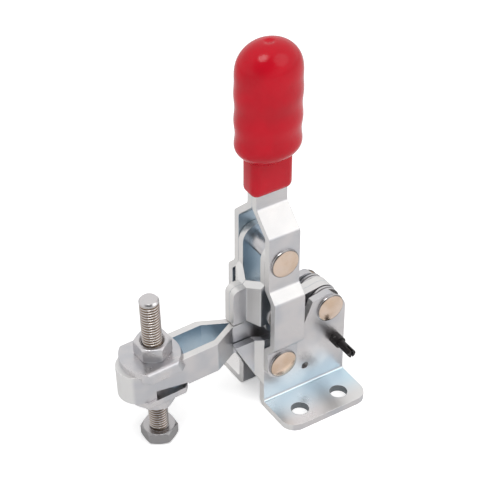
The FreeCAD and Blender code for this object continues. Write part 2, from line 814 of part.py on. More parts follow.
def make_saddle_washer(label):
    """The washer on top of the bar: flat sides turned down over it, and a block in its slot."""
    body = new_body(label)
    x, zero = size("spindle_x"), Term(0, "0")
    low = size("bar_high")
    inner = size("bar_half_width") + size("loose_gap")
    half = inner + size("saddle_gauge")
    sketch = new_sketch(body, "XY_Plane", low - size("saddle_lip"))
    draw_outline(sketch, washer_outline(half, size("saddle_radius") + 1),
                 {1: ((x, zero), True), 3: ((x, zero), True)})
    pad(body, sketch, size("saddle_lip") + size("saddle_gauge"))
    sketch = new_sketch(body, "YZ_Plane")
    draw_outline(sketch, rectangle(-inner, low - size("saddle_lip") - 1, inner, low))
    pocket(body, sketch, "the space between the lips")
    add_washer_block(body, low - size("saddle_collar_height"))
    round_edges(body, size("saddle_gauge") * 0.7, lambda e: edge_along(e, 0)
                and near(abs(middle_of(e).y), half)
                and near(middle_of(e).z, low + size("saddle_gauge")))
    drill_washer(body)
    turn_down(body)
    return body


def make_flat_washer(label):
    """The washer under the bar, with two flat sides and a block in the slot."""
    body = new_body(label)
    x, zero = size("spindle_x"), Term(0, "0")
    high = size("bar_low")
    sketch = new_sketch(body, "XY_Plane", high - size("saddle_gauge"))
    draw_outline(sketch, washer_outline(size("disc_half_width"), size("saddle_radius")),
                 {1: ((x, zero), True), 3: ((x, zero), True)})
    pad(body, sketch, size("saddle_gauge"))
    add_washer_block(body, high)
    drill_washer(body)
    turn_down(body)
    return body


def add_washer_block(body, low):
    """The square block that guides a washer in the bar's slot, standing up from low."""
    half, x = size("saddle_collar_half"), size("spindle_x")
    sketch = new_sketch(body, "XY_Plane", low)
    draw_outline(sketch, rectangle(x - half, -half, x + half, half))
    pad(body, sketch, size("saddle_collar_height"))


def drill_washer(body):
    sketch = new_sketch(body, "XY_Plane")
    draw_circle(sketch, (size("spindle_x"), Term(0, "0")),
                size("thread_radius") + size("pivot_gap"))
    pocket(body, sketch, "the spindle hole")


def build_all():
    """Makes every sub-part and returns them."""
    parts = []
    for name, near_side in (("near", True), ("far", False)):
        side = -1 if near_side else 1
        parts.append(make_base_plate(f"base_plate_{name}", near_side))
        parts.append(make_lever_plate(f"lever_plate_{name}", near_side))
        parts.append(make_link_plate(f"link_plate_{name}", near_side))
        parts.append(make_foot_rivet(f"foot_rivet_{name}", near_side))
        inner, outer = size("bar_waist") + size("slide_gap"), WALL_IN
        middle = (inner + outer) / 2
        for ring, low, high in (("inner", inner, middle), ("outer", middle, outer)):
            ends = (low, high) if side > 0 else (-high, -low)
            parts.append(make_tube(f"rear_washer_{ring}_{name}", REAR, size("washer_radius"),
                                   SHANK, *ends))
        ends = (inner, outer) if side > 0 else (-outer, -inner)
        parts.append(make_tube(f"knee_washer_{name}", KNEE, size("knee_lobe") - 0.4, SHANK, *ends))
    parts.append(make_foot_post("foot_post"))
    parts.append(make_rivet("rear_rivet", REAR, WALL_OUT))
    parts.append(make_stop_pin("stop_pin"))
    parts.append(make_clamp_bar("clamp_bar"))
    parts.append(make_rivet("knee_rivet", KNEE, WALL_OUT))
    parts.append(make_rivet("head_rivet", HEAD, LEVER_OUT))
    parts.append(make_tube("head_sleeve", HEAD, size("sleeve_radius"), BORE,
                           -WALL_IN, WALL_IN))
    parts.append(make_grip("grip"))
    parts.append(make_saddle_washer("saddle_washer"))
    parts.append(make_flat_washer("flat_washer"))
    parts.append(make_nut("upper_nut", size("bar_high") + size("saddle_gauge")))
    parts.append(make_nut("lower_nut", size("bar_low") - size("saddle_gauge") - size("nut_height")))
    parts.append(make_spindle("spindle"))
    return parts


def check_and_write(parts):
    """Checks every object and solid, then writes one STEP file for each sub-part."""
    doc.recompute()
    for item in doc.Objects:
        if "Invalid" in item.State or "Error" in item.State:
            raise RuntimeError(f"{item.Label} failed: {item.State}")
    for part in parts:
        shape = part.Shape
        if shape.isNull() or not shape.isValid() or len(shape.Solids) != 1:
            raise RuntimeError(f"{part.Label}: bad shape with {len(shape.Solids)} solids")
    os.makedirs("parts", exist_ok=True)
    for part in parts:
        part.Shape.exportStep(f"parts/{part.Label}.step")
        box = part.Shape.BoundBox
        print(f"{part.Label:26s} {part.Shape.Volume:10.1f} mm3   "
              f"x {box.XMin:.2f} {box.XMax:.2f}  y {box.YMin:.2f} {box.YMax:.2f}  "
              f"z {box.ZMin:.2f} {box.ZMax:.2f}")


check_and_write(build_all())
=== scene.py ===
"""Finishes for a vertical toggle clamp: the moulded grip, the threaded spindle, every metal surface
and the studio that it stands in. The frame is in metres, with +Z up and the clamping bar along -X.
"""

import json
import math

import bpy
from bpy.props import FloatProperty, FloatVectorProperty, IntProperty, PointerProperty
from mathutils import Matrix, Vector


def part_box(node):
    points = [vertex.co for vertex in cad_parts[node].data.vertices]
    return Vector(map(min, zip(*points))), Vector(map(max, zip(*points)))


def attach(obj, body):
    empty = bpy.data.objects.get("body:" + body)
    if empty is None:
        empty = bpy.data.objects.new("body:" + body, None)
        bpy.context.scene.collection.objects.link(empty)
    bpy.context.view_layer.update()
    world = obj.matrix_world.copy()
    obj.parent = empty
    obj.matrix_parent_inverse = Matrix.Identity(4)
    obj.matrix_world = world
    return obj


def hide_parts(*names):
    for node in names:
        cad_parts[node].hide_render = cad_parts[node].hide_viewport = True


bl_info = {
    "name": "Toggle Clamp Finishes",
    "version": (1, 0, 0),
    "blender": (4, 5, 0),
    "location": "View3D > Sidebar > Clamp",
    "description": "Models the grip and the threaded spindle of a toggle clamp and finishes its metal",
    "category": "Object",
}

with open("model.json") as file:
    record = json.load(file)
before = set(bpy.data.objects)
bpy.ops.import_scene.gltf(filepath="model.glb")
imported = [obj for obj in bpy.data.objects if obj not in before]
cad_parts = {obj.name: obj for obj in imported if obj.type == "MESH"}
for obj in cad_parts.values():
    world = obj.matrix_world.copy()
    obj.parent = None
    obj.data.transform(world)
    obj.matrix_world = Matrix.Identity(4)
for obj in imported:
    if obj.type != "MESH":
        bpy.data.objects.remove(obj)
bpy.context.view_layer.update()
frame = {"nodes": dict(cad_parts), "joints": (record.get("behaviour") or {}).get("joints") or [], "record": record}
MOUNTS = {mount["name"]: mount for mount in frame["record"]["mounts"]}
JOINTS = {joint["name"]: joint for joint in frame["joints"]}
GRIP_LOW, GRIP_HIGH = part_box("grip")
MM = 0.001

# How finely round pieces are divided, how close two vertices are when they become one, how many rays
# round off an edge, and how wide the floor is.
TURNED_SIDES = 72
WASHER_SIDES = 96
MERGE_DISTANCE = 1e-6
EDGE_SAMPLES = 8
FLOOR_SPAN = 12.0

# The grip's rounded underside: how far below the collar's top each ring lies, and how far it is drawn
# in, as a share of the grip's half depth.
UNDERSIDE = ((0.0052, 0.66), (0.0036, 0.50), (0.0016, 0.28), (-0.0004, 0.10))

# The finger grooves: quarters of a wave along the grip, and the share of its depth that the last lacks.
GROOVE_QUARTERS = 12
GROOVE_FADE = 0.62

# The grip's crown: the rings' angles on its dome, how full the dome is, and the dimple at its top, with
# its half widths as shares of the grip's.
CROWN_TURNS = (20, 38, 54, 66, 76, 84)
CROWN_POWER = 0.85
DIMPLE_DEPTH = 0.0007
DIMPLE_LONG, DIMPLE_DEEP = 0.075, 0.09

# A hexagon's corners are turned off by a cone, given in shares of the width across flats.
CORNER_OUT, CORNER_IN, CORNER_FALL = 0.585, 0.485, 0.058

# The countersink's fall for each unit inwards, and the gap between a thread and the bore round it.
COUNTERSINK_SLOPE = 0.7
THREAD_CLEARANCE = 0.00007

# The thread's ridge, in shares of the pitch and of the thread's depth, and the chamfer at its end.
RIDGE_FOOT, RIDGE_TOP, RIDGE_DEPTH = 0.46, 0.09, 1.2
CHAMFER_LONG = 1.2

# Where the rings of a rivet's dome lie, as shares of its radius, and the ring half way round its rim.
DOME_REACHES = (0.06, 0.3, 0.5, 0.68, 0.83, 0.94)
RIM_DROP, RIM_INSET = 0.3, 0.25

# Where the base counts as flange, and how far from the middle plane the painted blue reflection reaches.
FLANGE_HIGH = 0.0045
FLANGE_REFLECTION_REACH = 0.020

SHEET_NODES = ("lever_plate_near", "lever_plate_far", "link_plate_near", "link_plate_far", "clamp_bar")
BASE_NODES = ("base_plate_near", "base_plate_far")
TURNED_NODES = ("foot_post", "head_sleeve", "flat_washer")
WASHER_NODES = ("rear_washer_inner_near", "rear_washer_outer_near", "rear_washer_inner_far",
                "rear_washer_outer_far", "knee_washer_near", "knee_washer_far")
RIVETS = {
    "rear_rivet": ("domed_rear_rivet", "base"),
    "knee_rivet": ("domed_knee_rivet", "link"),
    "head_rivet": ("domed_head_rivet", "lever"),
    "foot_rivet_near": ("domed_foot_rivet_near", "lever"),
    "foot_rivet_far": ("domed_foot_rivet_far", "lever"),
}


def length(name, default, about, low=0.0):
    """A size in metres that the panel shows."""
    return FloatProperty(name=name, description=about, default=default, min=low, unit="LENGTH",
                         precision=5)


def colour(name, default, about):
    """A colour that the panel shows."""
    return FloatVectorProperty(name=name, description=about, default=default, size=3,
                               subtype="COLOR", min=0.0, max=1.0)


def number(name, default, about, **limits):
    """A plain number, such as a power or a brightness, that the panel shows."""
    return FloatProperty(name=name, description=about, default=default, **{"min": 0.0, **limits})


def point(name, default, about):
    """A point in metres that the panel shows."""
    return FloatVectorProperty(name=name, description=about, default=default, size=3, subtype="XYZ",
                               unit="LENGTH", precision=5)


class ClampGripSettings(bpy.types.PropertyGroup):
    """Sizes of the moulded grip."""
    centre: length("Centre", (GRIP_LOW.x + GRIP_HIGH.x) / 2, "Middle of the grip along X", -1.0)
    half_long: length("Half width", (GRIP_HIGH.x - GRIP_LOW.x) / 2, "Half of the oval along X")
    half_deep: length("Half depth", GRIP_HIGH.y, "Half of the oval along Y")
    collar_high: length("Collar top", 0.1195, "Height at which the collar meets the body")
    collar_half_long: length("Collar half width", 0.0092, "Half of the collar along X")
    collar_half_deep: length("Collar half depth", 0.0049, "Half of the collar along Y")
    collar_corner: length("Collar corner", 0.0032, "Radius of the collar's upright corners")
    collar_edge: length("Collar edge", 0.0006, "Rounding of the collar's lower edge")
    groove: length("Groove depth", 0.0008, "Depth of the lowest finger groove")
    pitch: length("Groove pitch", 0.0112, "Height from one groove to the next")
    rings: IntProperty(name="Vertices round", description="Vertices round the oval", default=40,
                       min=12)


class ClampSpindleSettings(bpy.types.PropertyGroup):
    """Sizes of the threaded spindle and its nuts, measured along its own axis from the foot."""
    head_flats: length("Across flats", 0.013, "Width of the hexagon head across its flats")
    head_high: length("Head height", 0.0053, "Height of the hexagon head")
    reach: length("Reach", 0.0703, "Length of the spindle with its head")
    crest: length("Crest radius", 0.00398, "Outer radius of the thread")
    root: length("Root radius", 0.00332, "Radius at the bottom of the thread")
    pitch: length("Pitch", 0.00125, "Rise of the thread in one turn")
    tip: length("Tip", 0.0011, "Length of the chamfered tip above the thread")
    nut_flats: length("Nut across flats", 0.013, "Width of the nuts across their flats")
    countersink: length("Countersink", 0.0051, "Radius of the countersink in the face of a nut")
    steps: IntProperty(name="Steps", description="Sides in one turn of the thread", default=28,
                       min=8)


class ClampSaddleSettings(bpy.types.PropertyGroup):
    """Sizes of the saddle washer, with heights measured along the spindle from its foot."""
    low: length("Lip's lower edge", 0.0386, "Height of the lips' lower edges")
    bar_top: length("Bar top", 0.0412, "Height of the bar's upper edge, where the plate lies")
    top: length("Plate top", 0.0437, "Height of the plate's upper face")
    half_deep: length("Half depth", 0.01105, "Half of the washer across the bar, with its lips")
    inner: length("Inner half depth", 0.00855, "Half of the space between the lips")
    front_radius: length("Front radius", 0.0135, "Radius of the end towards the bar's nose")
    rear_radius: length("Rear radius", 0.0128, "Radius of the end towards the pivot")
    rear_shift: length("Rear shift", 0.0028, "How far towards the nose the rear end's centre lies")
    rounding: length("Lip rounding", 0.0018, "Radius of the bend into each lip")
    block: length("Block half width", 0.00485, "Half of the square block in the bar's slot")
    block_low: length("Block bottom", 0.0390, "Height of the block's lower face")


class ClampRivetSettings(bpy.types.PropertyGroup):
    """Sizes of the rivets' heads."""
    stained: length("Stained radius", 0.0059, "Radius inside which a head is yellowed")
    # A ring of painted shade at the edge of each dome lies between these two radii.
    rim_inner: length("Rim inside", 0.0058, "Radius at which the dirt of the rim begins")
    rim_outer: length("Rim outside", 0.0062, "Radius at which the dirt of the rim ends")
    head_high: length("Head height", 0.0019, "Height of a head over the plate")
    rise: length("Dome rise", 0.0011, "Height of the dome over its rounded rim")
    edge: length("Rim rounding", 0.0005, "Radius between the dome and the rim's side")
    shank: length("Shank radius", 0.003, "Radius of the shank")
    rings: IntProperty(name="Vertices round", description="Vertices round a head", default=72, min=12)


class ClampColourSettings(bpy.types.PropertyGroup):
    """Colours of the finishes."""
    zinc_light: colour("Zinc", (0.62, 0.60, 0.605), "Bright zinc plate")
    zinc_shade: colour("Zinc shade", (0.50, 0.51, 0.54), "Greyer patches in the zinc plate")
    # Painted bluish shade for the faces that look inward, towards the middle plane.
    inner_shade_blue: colour("Zinc blue", (0.33, 0.47, 0.58), "Painted bluish shade on the faces that look inward")
    # Also used for the painted sheen on the low faces that look up, the flanges' tops.
    cut_edge_and_sheen: colour("Cut edge", (0.83, 0.82, 0.80), "Sheared edges and rubbed places")
    # Painted bluish reflection on the near flange's top.
    flange: colour("Flange", (0.58, 0.76, 0.86), "Painted bluish reflection on the near flange's top")
    # Painted shade on the walls of the bolt holes.
    hole_wall_shade: colour("Hole wall", (0.24, 0.26, 0.275), "Painted shade on the walls of the bolt holes")
    rust: colour("Rust tint", (0.62, 0.43, 0.28), "Browner washes on the rivets' faces")
    # Painted shade in the creases round the rivets' domes and at the washers' ends.
    crease_shade: colour("Crease shade", (0.030, 0.026, 0.024), "Dirt round the rivets and between washers")
    rivet_dome: colour("Rivet dome", (0.74, 0.57, 0.45), "Yellowed face of a rivet head")
    thread: colour("Thread", (0.24, 0.165, 0.095), "Yellowed plating in the thread")
    head: colour("Bolt head", (0.33, 0.322, 0.326), "Darker tone on the spindle's head")
    black: colour("Black oxide", (0.016, 0.012, 0.013), "Blackened stop pin")
    grip: colour("Grip", (0.60, 0.002, 0.016), "Moulded grip")
    floor: colour("Floor", (0.93, 0.93, 0.93), "Studio floor")


class ClampStageSettings(bpy.types.PropertyGroup):
    """The camera, the lamps, the world and the floor."""
    target: point("Target", (0.00067, 0.04046, 0.04528), "Point in the middle of the picture")
    azimuth: FloatProperty(name="Azimuth", description="Camera's turn about Z from looking along +Y",
                           default=math.radians(-32.476), subtype="ANGLE")
    elevation: FloatProperty(name="Elevation", description="Camera's height above level",
                             default=math.radians(37.301), subtype="ANGLE")
    distance: length("Distance", 0.68465, "Camera to target")
    lens: number("Lens", 123.13, "Focal length in millimetres on a 36 mm sensor", min=10.0)
    lit: point("Lit point", (-0.02, 0.0, 0.07), "Point that both lamps face")
    key_place: point("Key lamp", (-0.35, -0.30, 1.25), "Where the main lamp hangs")
    key_size: length("Key size", 0.6, "Width of the main lamp")
    key_power: number("Key power", 5.0, "Main lamp in watts")
    front_place: point("Front lamp", (0.50, -0.75, 0.85), "Where the front lamp hangs")
    front_size: length("Front size", 0.9, "Width of the front lamp")
    front_power: number("Front power", 2.0, "Front lamp in watts")
    world_level: number("World level", 0.62, "Light from all round")
    card_level: number("Card level", 0.18, "Brightness of the dark card in the metal")
    card_rim: number("Card rim", 0.62, "Cosine of the angle from the card's middle at which it begins")
    card_core: number("Card core", 0.97, "Cosine of the angle inside which the card is darkest")
    floor_lift: number("Floor lift", 0.42, "How far the camera sees the floor lifted")


def settings(kind):
    """The scene's sizes or colours of one kind."""
    return getattr(bpy.context.scene, f"clamp_{kind}")


class Signal:
    """A number that varies over a surface. Python arithmetic on it adds Math nodes."""

    def __init__(self, nodes, socket):
        self.nodes = nodes
        self.socket = socket

    def math(self, operation, *others):
        """A Math node with this number first."""
        return self.combine(operation, self, *others)

    def combine(self, operation, *terms):
        """A Math node on the terms in their order."""
        node = self.nodes.add("ShaderNodeMath", {"operation": operation}, dict(enumerate(terms)))
        return Signal(self.nodes, node.outputs[0])

    def __add__(self, other):
        return self.math("ADD", other)

    __radd__ = __add__

    def __sub__(self, other):
        return self.math("SUBTRACT", other)

    def __rsub__(self, other):
        return self.combine("SUBTRACT", other, self)

    def __mul__(self, other):
        return self.math("MULTIPLY", other)

    __rmul__ = __mul__

    def __pow__(self, other):
        return self.math("POWER", other)

    def __abs__(self):
        return self.math("ABSOLUTE")

    def over(self, edge, blur):
        """0 below edge and 1 above it, with a soft step as wide as blur."""
        node = self.nodes.add("ShaderNodeMapRange", {"interpolation_type": "SMOOTHSTEP"},
                              {"Value": self, "From Min": edge - blur / 2, "From Max": edge + blur / 2})
        return Signal(self.nodes, node.outputs["Result"])


class Nodes:
    """The nodes of a material or a world, with one method that adds a node."""

    def __init__(self, tree):
        self.tree = tree

    def add(self, kind, choices=None, sockets=None):
        """Adds a node, sets its choices first, and then fills or links its sockets."""
        node = self.tree.nodes.new(kind)
        for name, choice in (choices or {}).items():
            setattr(node, name, choice)
        for name, value in (sockets or {}).items():
            self.put(node.inputs[name], value)
        return node

    def put(self, socket, value):
        """Links a socket to another one, or sets its value."""
        if isinstance(value, Signal):
            value = value.socket
        if isinstance(value, bpy.types.NodeSocket):
            self.tree.links.new(value, socket)
        elif hasattr(value, "__len__") and socket.type == "RGBA":
            socket.default_value = (*value[:3], 1.0)
        else:
            socket.default_value = value

    def signal(self, socket):
        """An output socket as a number to work with."""
        return Signal(self, socket)


class Finish(Nodes):
    """A material in the making."""

    def __init__(self, name, **fixed):
        self.material = bpy.data.materials.new(name)
        self.material.use_nodes = True
        super().__init__(self.material.node_tree)
        self.shader = self.tree.nodes["Principled BSDF"]
        for socket, value in fixed.items():
            self.shader.inputs[socket.replace("_", " ")].default_value = value

    def place(self):
        """The point on the surface in the frame's metres, which moves with the piece."""
        return self.add("ShaderNodeTexCoord").outputs["Object"]

    def facing(self):
        """Where the surface faces, along the piece's own axes."""
        return self.add("ShaderNodeTexCoord").outputs["Normal"]

    def split(self, vector):
        """The three numbers of a vector."""
        node = self.add("ShaderNodeSeparateXYZ", None, {"Vector": vector})
        return [self.signal(node.outputs[axis]) for axis in ("X", "Y", "Z")]

    def stretched(self, scale):
        """The point on the surface with each axis scaled, for patterns that run along one of them."""
        node = self.add("ShaderNodeMapping", None, {"Vector": self.place(), "Scale": scale})
        return node.outputs["Vector"]

    def noise(self, vector, scale, detail=3.0, rough=0.5):
        """Clouds from 0 to 1, finer with a larger scale."""
        node = self.add("ShaderNodeTexNoise", None, {
            "Vector": vector, "Scale": scale, "Detail": detail, "Roughness": rough})
        return self.signal(node.outputs["Fac"])

    def blend(self, mask, first, second):
        """The first colour where the mask is 0 and the second where it is 1."""
        node = self.add("ShaderNodeMix", {"data_type": "RGBA"}, {0: mask, 6: first, 7: second})
        return node.outputs[2]

    def bump(self, height, strength, distance, under=None):
        """Normals that make a height seem raised, on top of the normals under them."""
        sockets = {"Height": height, "Strength": strength, "Distance": distance}
        if under is not None:
            sockets["Normal"] = under
        return self.add("ShaderNodeBump", None, sockets).outputs["Normal"]

    def rounded(self, radius):
        """Normals that make a sharp edge look rounded."""
        node = self.add("ShaderNodeBevel", {"samples": EDGE_SAMPLES}, {"Radius": radius})
        return node.outputs["Normal"]

    def finish(self, **links):
        """Fills or links the shader's sockets and gives the material."""
        for socket, value in links.items():
            self.put(self.shader.inputs[socket.replace("_", " ")], value)
        return self.material


def bolt_hole_walls(finish, low):
    """1 on the walls of the four mounting holes, where shade is painted, and 0 elsewhere. low is 1 at the flanges'
    height.
    """
    holes = MOUNTS["base_bolts"]["dims"]
    along, across, _ = finish.split(finish.place())
    apart = ((abs(along) - holes["spacing_x_mm"] * MM / 2) ** 2
             + (abs(across) - holes["spacing_y_mm"] * MM / 2) ** 2) ** 0.5
    lip, soft = 0.0001, 0.00008
    return (1 - apart.over(holes["hole_r_mm"] * MM + lip, soft)) * low


def zinc_sheet(name, flat_axes, inner_shade):
    """Bright zinc plate on sheet, with painted sheen, reflections and shade. flat_axes are the axes that its
    rolled faces look along, and the last argument is how strong the painted bluish shade on its inner faces is."""
    tones = settings("colours")
    finish = Finish(name, Metallic=1.0, IOR=2.0)
    clouds = finish.noise(finish.place(), 70.0, 2.0)
    patches = clouds.over(0.52, 0.25)
    grain = finish.noise(finish.stretched((1.0, 1.0, 14.0)), 900.0, 4.0, 0.6)
    shear = finish.noise(finish.stretched((1.0, 18.0, 1.0)), 1500.0, 3.0, 0.7)
    facing = finish.split(finish.facing())
    _, across, height = finish.split(finish.place())

    flat = sum((abs(facing[axis]) ** 4 for axis in flat_axes[1:]), abs(facing[flat_axes[0]]) ** 4)
    cut = 1 - flat.over(0.35, 0.3)
    # 1 on faces that look towards the middle plane, which get the painted bluish shade.
    inner = 1 - (facing[1] * across.math("SIGN")).over(-0.45, 0.4)
    low = 1 - height.over(FLANGE_HIGH, 0.002)
    # The low faces that look up, the flanges' tops, which get painted sheen and reflection.
    low_top = low * facing[2].over(0.7, 0.3)
    # The strip on the near side of the middle plane that gets the painted bluish reflection.
    near_flange = across.over(-FLANGE_REFLECTION_REACH, 0.013) * (1 - across.over(0, 0.004))

    plate = finish.blend(patches * 0.8, tones.zinc_light, tones.zinc_shade)
    # Painted sheen on the flanges' tops, in the cut edge colour.
    lightened = finish.blend(low_top * (0.5 + patches * 0.3), plate, tones.cut_edge_and_sheen)
    # Painted bluish reflection on the near flange's top.
    reflected_flange = finish.blend(low_top * near_flange * (0.6 + clouds * 0.4), lightened, tones.flange)
    # Painted bluish shade on the faces that look inward.
    shaded_inside = finish.blend(inner * (0.75 + clouds * 0.5) * inner_shade, reflected_flange, tones.inner_shade_blue)
    worn = finish.blend(cut * (0.4 + shear * 0.5), shaded_inside, tones.cut_edge_and_sheen)
    # Painted shade on the walls of the bolt holes.
    hole_shaded = finish.blend(bolt_hole_walls(finish, low), worn, tones.hole_wall_shade)
    rough = 0.19 + clouds * 0.12 + grain * 0.10 + cut * 0.14
    relief = grain * 0.5 + shear * cut * 1.4 + clouds * 0.6
    return finish.finish(Base_Color=hole_shaded, Roughness=rough,
                         Normal=finish.bump(relief, 0.22, 0.00012, finish.rounded(0.0003)))


def zinc_turned(name, ends=()):
    """Zinc plate on turned and stamped small parts. ends are places along Y where shade is painted next to the
    neighbouring parts.
    """
    tones = settings("colours")
    finish = Finish(name, Metallic=1.0, IOR=2.0)
    clouds = finish.noise(finish.place(), 160.0, 3.0)
    rings = finish.noise(finish.stretched((1.0, 1.0, 26.0)), 700.0, 2.0)
    plate = finish.blend(clouds.over(0.5, 0.4) * 0.7, tones.zinc_light, tones.zinc_shade)
    _, across, _ = finish.split(finish.place())
    for end in ends:
        # Painted shade at each end, where the washer meets its neighbour.
        near_end = 1 - abs(across - end).over(0.00035, 0.0003)
        plate = finish.blend(near_end * (0.6 + clouds * 0.4), plate, tones.crease_shade)
    return finish.finish(Base_Color=plate, Roughness=0.18 + clouds * 0.14 + rings * 0.08,
                         Normal=finish.bump(rings + clouds, 0.15, 0.0001, finish.rounded(0.0003)))


def rivet_steel(name, centre):
    """A rivet: a yellowed dome with a ring of painted shade at its edge, in a bright rim, round an axis along Y
    through centre.
    """
    tones, sizes = settings("colours"), settings("rivets")
    finish = Finish(name, Metallic=1.0, IOR=2.0)
    x, _, z = finish.split(finish.place())
    across = ((x - centre.x) ** 2 + (z - centre.z) ** 2) ** 0.5
    soft = 0.0003
    dome = 1 - across.over(sizes.stained, soft)
    # A ring of painted shade at the dome's edge.
    rim = across.over(sizes.rim_inner, soft) * (1 - across.over(sizes.rim_outer, soft))
    stain = finish.noise(finish.place(), 420.0, 4.0)
    wash = finish.noise(finish.place(), 150.0, 2.0).over(0.52, 0.3)
    face = finish.blend(wash * 0.75, tones.rivet_dome, tones.rust)
    warm = finish.blend(dome * (0.65 + stain * 0.35), tones.zinc_light, face)
    shaded = finish.blend(rim * 0.7, warm, tones.crease_shade)
    relief = stain * 0.8 + (across * 5200.0).math("SINE") * 0.12
    return finish.finish(Base_Color=shaded, Roughness=0.16 + stain * 0.14,
                         Normal=finish.bump(relief, 0.2, 0.0001, finish.rounded(0.0003)))


def thread_steel(name):
    """The plated spindle: a darker head, and a thread with bright crests and yellowed grooves."""
    tones, sizes = settings("colours"), settings("spindle")
    finish = Finish(name, Metallic=1.0, IOR=2.0)
    foot, axis = spindle_line()
    offset = finish.add("ShaderNodeVectorMath", {"operation": "SUBTRACT"},
                        {0: finish.place(), 1: foot}).outputs["Vector"]
    along = finish.signal(finish.add("ShaderNodeVectorMath", {"operation": "DOT_PRODUCT"},
                                     {0: offset, 1: axis}).outputs["Value"])
    apart = finish.signal(finish.add("ShaderNodeVectorMath", {"operation": "LENGTH"},
                                     {0: offset}).outputs["Value"])
    radius = abs(apart ** 2 - along ** 2) ** 0.5
    soft = 0.0002
    shank = along.over(sizes.head_high, soft) * (1 - along.over(sizes.reach - sizes.tip, soft))
    head = 1 - along.over(sizes.head_high, soft)
    depth = sizes.crest - sizes.root
    groove = shank * (1 - radius.over(sizes.root + depth * 0.72, depth * 0.5))
    stain = finish.noise(finish.place(), 300.0, 3.0)
    # The head below its height gets a darker tone.
    plate = finish.blend(head, tones.zinc_light, tones.head)
    warm = finish.blend(groove * (0.75 + stain * 0.4), plate, tones.thread)
    return finish.finish(Base_Color=warm, Roughness=0.2 + groove * 0.2 + stain * 0.1,
                         Normal=finish.bump(stain, 0.12, 0.0001, finish.rounded(0.0003)))


def black_oxide(name):
    """Blackened steel with a few rubbed specks."""
    tones = settings("colours")
    finish = Finish(name, Metallic=0.6, IOR=1.8)
    stain = finish.noise(finish.place(), 500.0, 4.0)
    lightened = finish.blend(stain.over(0.70, 0.12) * 0.2, tones.black, tones.cut_edge_and_sheen)
    return finish.finish(Base_Color=lightened, Roughness=0.3 + stain * 0.22,
                         Normal=finish.bump(stain, 0.2, 0.0001, finish.rounded(0.0002)))


def red_plastic(name):
    """Glossy dipped plastic, with a faint unevenness that breaks its reflections."""
    tones = settings("colours")
    finish = Finish(name, IOR=1.4, Specular_IOR_Level=0.30, Coat_Roughness=0.05)
    waves = finish.noise(finish.place(), 95.0, 2.0)
    specks = finish.noise(finish.place(), 1400.0, 2.0)
    deep = [channel * 0.72 for channel in tones.grip]
    red = finish.blend(waves.over(0.5, 0.5) * 0.55, tones.grip, deep)
    return finish.finish(Base_Color=red, Roughness=0.16 + specks * 0.06,
                         Coat_Weight=0.04 + waves * 0.12,
                         Normal=finish.bump(waves, 0.12, 0.0004))


def dress(node, material):
    """Gives a frame node its finish, without touching its mesh."""
    for slot in frame["nodes"][node].material_slots:
        slot.material = material


def deselect():
    """Leaves edit mode and deselects everything."""
    if bpy.context.object and bpy.context.object.mode != "OBJECT":
        bpy.ops.object.mode_set(mode="OBJECT")
    bpy.ops.object.select_all(action="DESELECT")


def start_piece(name):
    """Names the primitive that was just added and opens it for editing with all of it selected."""
    piece = bpy.context.object
    piece.name = name
    piece.data.name = name
    bpy.ops.object.transform_apply(location=True, rotation=True, scale=True)
    bpy.ops.object.mode_set(mode="EDIT")
    bpy.ops.mesh.select_all(action="SELECT")
    return piece


def pick_edges(piece, test):
    """Selects the edges whose two ends pass the test, in edit mode."""
    bpy.ops.mesh.select_all(action="DESELECT")
    bpy.ops.object.mode_set(mode="OBJECT")
    for edge in piece.data.edges:
        a, b = (piece.data.vertices[index].co for index in edge.vertices)
        edge.select = test(a, b)
    bpy.ops.object.mode_set(mode="EDIT")
    bpy.ops.mesh.select_mode(type="EDGE")


def close_piece(piece, angle=35.0):
    """Leaves edit mode with doubles merged, faces outwards and smooth shading below an angle."""
    bpy.ops.mesh.select_all(action="SELECT")
    bpy.ops.mesh.remove_doubles(threshold=MERGE_DISTANCE)
    bpy.ops.mesh.normals_make_consistent(inside=False)
    bpy.ops.object.mode_set(mode="OBJECT")
    bpy.ops.object.shade_smooth_by_angle(angle=math.radians(angle))
    return piece


def apply_modifier(piece, kind, **choices):
    """Gives a piece a modifier and applies it."""
    modifier = piece.modifiers.new(kind.title(), kind)
    for name, choice in choices.items():
        setattr(modifier, name, choice)
    bpy.context.view_layer.objects.active = piece
    bpy.ops.object.modifier_apply(modifier=modifier.name)


def join_pieces(pieces, name):
    """Joins the pieces into the first one, which takes the name."""
    deselect()
    for piece in pieces:
        piece.select_set(True)
    bpy.context.view_layer.objects.active = pieces[0]
    bpy.ops.object.join()
    pieces[0].name = name
    pieces[0].data.name = name
    return pieces[0]


def set_material(piece, material):
    """Gives a new piece its one material."""
    piece.data.materials.clear()
    piece.data.materials.append(material)


def raise_rings(name, vertices, rings):
    """A closed body drawn up along Z. Each ring is its height and its half widths along X and Y."""
    low, wide, deep = rings[0]
    deselect()
    bpy.ops.mesh.primitive_circle_add(vertices=vertices, radius=1.0, location=(0, 0, low))
    bpy.context.object.scale = (wide, deep, 1)
    body = start_piece(name)
    bpy.ops.mesh.edge_face_add()
    for height, half_x, half_y in rings[1:]:
        bpy.ops.mesh.extrude_region_move(TRANSFORM_OT_translate={"value": (0, 0, height - low)})
        bpy.ops.transform.resize(value=(half_x / wide, half_y / deep, 1),
                                 center_override=(0, 0, height))
        low, wide, deep = height, half_x, half_y
    return body


def raise_turned(name, sides, rings):
    """A closed round body drawn up along Z. Each ring is its height and its radius."""
    return raise_rings(name, sides, [(height, reach, reach) for height, reach in rings])


def place_piece(piece, matrix):
    """Moves a finished mesh to its place, with its object left at the origin."""
    deselect()
    piece.select_set(True)
    bpy.context.view_layer.objects.active = piece
    piece.matrix_world = matrix
    bpy.ops.object.transform_apply(location=True, rotation=True, scale=True)


